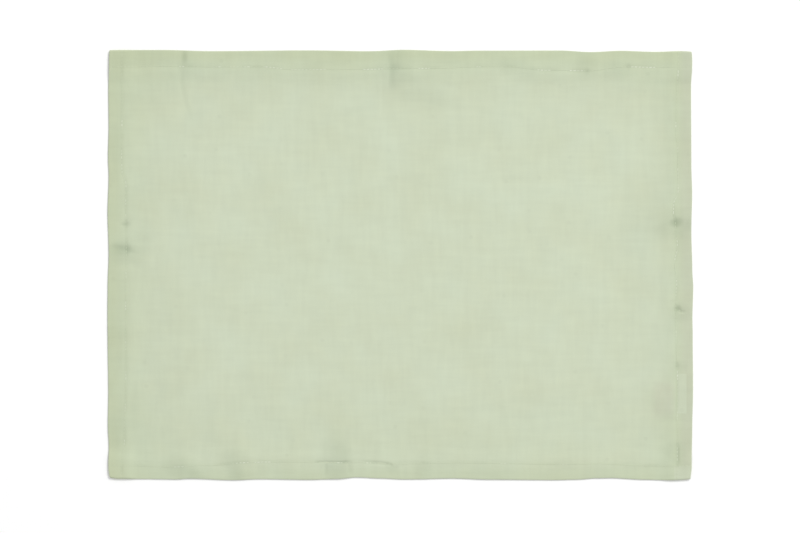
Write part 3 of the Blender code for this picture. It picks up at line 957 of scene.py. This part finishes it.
ON_FACE = CLOTH_THICK / 2 + CLEAR
ON_REVERSE = CLOTH_THICK / 2 - CLEAR
seam_paths = []
for side, sign in (("left", -1.0), ("right", 1.0)):
    place = np.arange(-MAT_WIDE / 2 + FACE_ENDS[0], MAT_WIDE / 2 - FACE_ENDS[1], PATH_STEP)
    u = sign * (MAT_LONG / 2 - along_side(SEAMS[side], place))
    seam_paths.append(laid(*folded(u, place, ON_FACE)))
    place = np.arange(-MAT_WIDE / 2 + REVERSE_ENDS[0], MAT_WIDE / 2 - REVERSE_ENDS[1], PATH_STEP)
    room = label_room(place) if side == "right" else 0.0
    u = sign * under_seam(side, place, room, 0.0)
    seam_paths.append(laid(*folded(u, place, ON_REVERSE)))
for side, sign in (("near", -1.0), ("far", 1.0)):
    place = np.arange(-MAT_LONG / 2 + FACE_ENDS[0], MAT_LONG / 2 - FACE_ENDS[1], PATH_STEP)
    v = sign * (MAT_WIDE / 2 - along_side(SEAMS[side], place))
    seam_paths.append(laid(*folded(place, v, ON_FACE)))
    crossing = hem_shares(place, np.full(place.shape, sign * MAT_WIDE / 2), HEM_SLOPE)[0]
    v = sign * under_seam(side, place, 0.0, crossing)
    seam_paths.append(laid(*folded(place, v, ON_REVERSE)))

path_verts = []
path_edges = []
for path in seam_paths:
    start = len(path_verts)
    points = np.stack(path, axis=1)
    points[:, :2] -= middle_of_mat
    points[:, 2] = np.maximum(points[:, 2], THREAD_THICK / 2 + CLEAR)
    path_verts += (points * METRE).tolist()
    path_edges += [(index, index + 1) for index in range(start, len(path_verts) - 1)]
path_mesh = bpy.data.meshes.new("stitch lines")
path_mesh.from_pydata(path_verts, path_edges, [])
stitch_lines = new_object("stitch_lines", path_mesh)

sewing, sizes, sew_out = new_group(
    "row of stitches",
    "GeometryNodeTree",
    {
        "Geometry": "Geometry",
        "Stitch Length": "Float",
        "Thread Thickness": "Float",
        "Gap": "Float",
        "Unevenness": "Float",
        "Seed": "Int",
        "Thread": "Material",
    },
    {"Geometry": "Geometry"},
)
to_curve = added(sewing, "GeometryNodeMeshToCurve", {"Mesh": sizes["Geometry"]})
row = {"Curve": to_curve.outputs["Curve"], "Length": sizes["Stitch Length"]}
spaced = added(sewing, "GeometryNodeResampleCurve", row, mode="LENGTH")
ball = added(sewing, "GeometryNodeMeshUVSphere", {"Segments": 6, "Rings": 5, "Radius": 0.5})
thick = sizes["Thread Thickness"]
long = maths(sewing, "SUBTRACT", sizes["Stitch Length"], sizes["Gap"])
drawn_out = added(sewing, "ShaderNodeCombineXYZ", {"X": thick, "Y": thick, "Z": long}).outputs["Vector"]
stitch = {"Geometry": ball.outputs["Mesh"], "Scale": drawn_out}
one_stitch = added(sewing, "GeometryNodeTransform", stitch)
way = {"Vector": added(sewing, "GeometryNodeInputTangent", {}).outputs["Tangent"]}
lined_up = added(sewing, "FunctionNodeAlignRotationToVector", way, axis="Z")
jitter = added(sewing, "FunctionNodeRandomValue", {"Seed": sizes["Seed"]}, data_type="FLOAT")
for end, kind in (("Min", "SUBTRACT"), ("Max", "ADD")):
    limit = [socket for socket in jitter.inputs if socket.name == end and socket.type == "VALUE"][0]
    sewing.links.new(maths(sewing, kind, 1.0, sizes["Unevenness"]), limit)
random_size = [socket for socket in jitter.outputs if socket.type == "VALUE"][0]
uneven_size = added(sewing, "ShaderNodeCombineXYZ", {"X": 1.0, "Y": 1.0, "Z": random_size})
along_row = {
    "Points": spaced.outputs["Curve"],
    "Instance": one_stitch.outputs["Geometry"],
    "Rotation": lined_up.outputs["Rotation"],
    "Scale": uneven_size.outputs["Vector"],
}
placed = added(sewing, "GeometryNodeInstanceOnPoints", along_row)
real = added(sewing, "GeometryNodeRealizeInstances", {"Geometry": placed.outputs["Instances"]})
smooth = added(sewing, "GeometryNodeSetShadeSmooth", {"Geometry": real.outputs["Geometry"]})
dressed = {"Geometry": smooth.outputs["Geometry"], "Material": sizes["Thread"]}
threaded = added(sewing, "GeometryNodeSetMaterial", dressed)
feed(sewing, sew_out, {"Geometry": threaded.outputs["Geometry"]})

# The thread's colour, lightened to a painted highlight where it catches the light
THREAD_HIGHLIGHT_TINTS = (
    (0.0, (0.562, 0.618, 0.457)),
    (1.0, (0.90, 0.92, 0.83)),
)
thread, tree, shader = new_material("sage thread")
room = added(tree, "ShaderNodeTexCoord", {}).outputs["Object"]
unevenly = maths(tree, "MULTIPLY", noise(tree, room, 260.0, 2.0, over="3D"), 1.7)
thread_with_highlight = ramp(tree, maths(tree, "MULTIPLY", mark_of(tree, "painted highlight"), unevenly), THREAD_HIGHLIGHT_TINTS)
feed(tree, shader, {"Base Color": thread_with_highlight, "Roughness": 0.7, "Sheen Weight": 0.1})

rows_of_stitches = stitch_lines.modifiers.new("row of stitches", "NODES")
rows_of_stitches.node_group = sewing
settings = {
    "Stitch Length": STITCH_LONG * METRE,
    "Thread Thickness": THREAD_THICK * METRE,
    "Gap": STITCH_GAP * METRE,
    "Unevenness": 0.15,
    "Seed": 7,
    "Thread": thread,
}
for item in sewing.interface.items_tree:
    if item.in_out == "INPUT" and item.name in settings:
        rows_of_stitches[item.identifier] = settings[item.name]
shown = stitch_lines.evaluated_get(bpy.context.evaluated_depsgraph_get())
stitch_mesh = bpy.data.meshes.new_from_object(shown)
stitch_mesh.name = "stitching"
stitching = new_object("stitching", stitch_mesh)
bpy.data.objects.remove(stitch_lines, do_unlink=True)
place_x, place_y = np.array([vert.co[:2] for vert in stitch_mesh.vertices]).T / METRE
place_x = place_x + middle_of_mat[0]
place_y = place_y + middle_of_mat[1]
from_edge = from_sides(place_x, place_y)
# The painted highlight's share on each stitch, from its row and its place along it
painted_highlight = np.zeros(place_x.shape)
for side, place in along_sides(place_x, place_y):
    on_row = np.abs(from_edge[side] - along_side(SEAMS[side], place)) < ROW_REACH
    for start, end, share in THREAD_HIGHLIGHTS[side]:
        painted_highlight = np.where(on_row & (place > start) & (place < end), share, painted_highlight)
mark = stitch_mesh.attributes.new("painted highlight", "FLOAT", "POINT")
mark.data.foreach_set("value", painted_highlight.astype(np.float32))

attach(stitching, "root")

# Floor: a plain matte near-white board under the mat, part of the studio and not of the mat.
floor_mesh = bpy.data.meshes.new("white board")
floor_mesh.from_pydata([(-3, -3, 0), (3, -3, 0), (3, 3, 0), (-3, 3, 0)], [], [(0, 1, 2, 3)])
floor = new_object("floor", floor_mesh)
board, tree, shader = new_material("white board")
feed(tree, shader, {"Base Color": (0.96, 0.96, 0.96, 1.0), "Roughness": 0.9, "Specular IOR Level": 0.1})
floor_mesh.materials.append(board)

# Light: one large soft lamp from the upper right, and an even white surround that fills the shadows.
key_lamp = bpy.data.lights.new("soft key", "AREA")
key_lamp.shape = "DISK"
key_lamp.size = 2.7
key_lamp.energy = 335.0
key = new_object("soft_key", key_lamp)
key.location = (3.42, 4.32, 4.64)
key.rotation_euler = (-key.location).to_track_quat("-Z", "Y").to_euler()
surround = bpy.data.worlds.new("white surround")
surround.use_nodes = True
sky = surround.node_tree
feed(sky, sky.nodes["Background"], {"Color": (1.0, 1.0, 1.0, 1.0), "Strength": 0.68})
bpy.context.scene.world = surround
bpy.context.scene.view_settings.view_transform = "Standard"

# Camera: straight above the mat, with the mat a touch high and left of the picture's middle, as in the
# photograph. Its picture is 664 mm wide at the surface.
PICTURE_WIDE = 0.6642
lens = bpy.data.cameras.new("overhead")
lens.lens = 85.0
lens.sensor_width = 36.0
camera = new_object("overhead", lens)
camera.location = (-0.0003, -0.0012, PICTURE_WIDE * lens.lens / lens.sensor_width)
bpy.context.scene.camera = camera
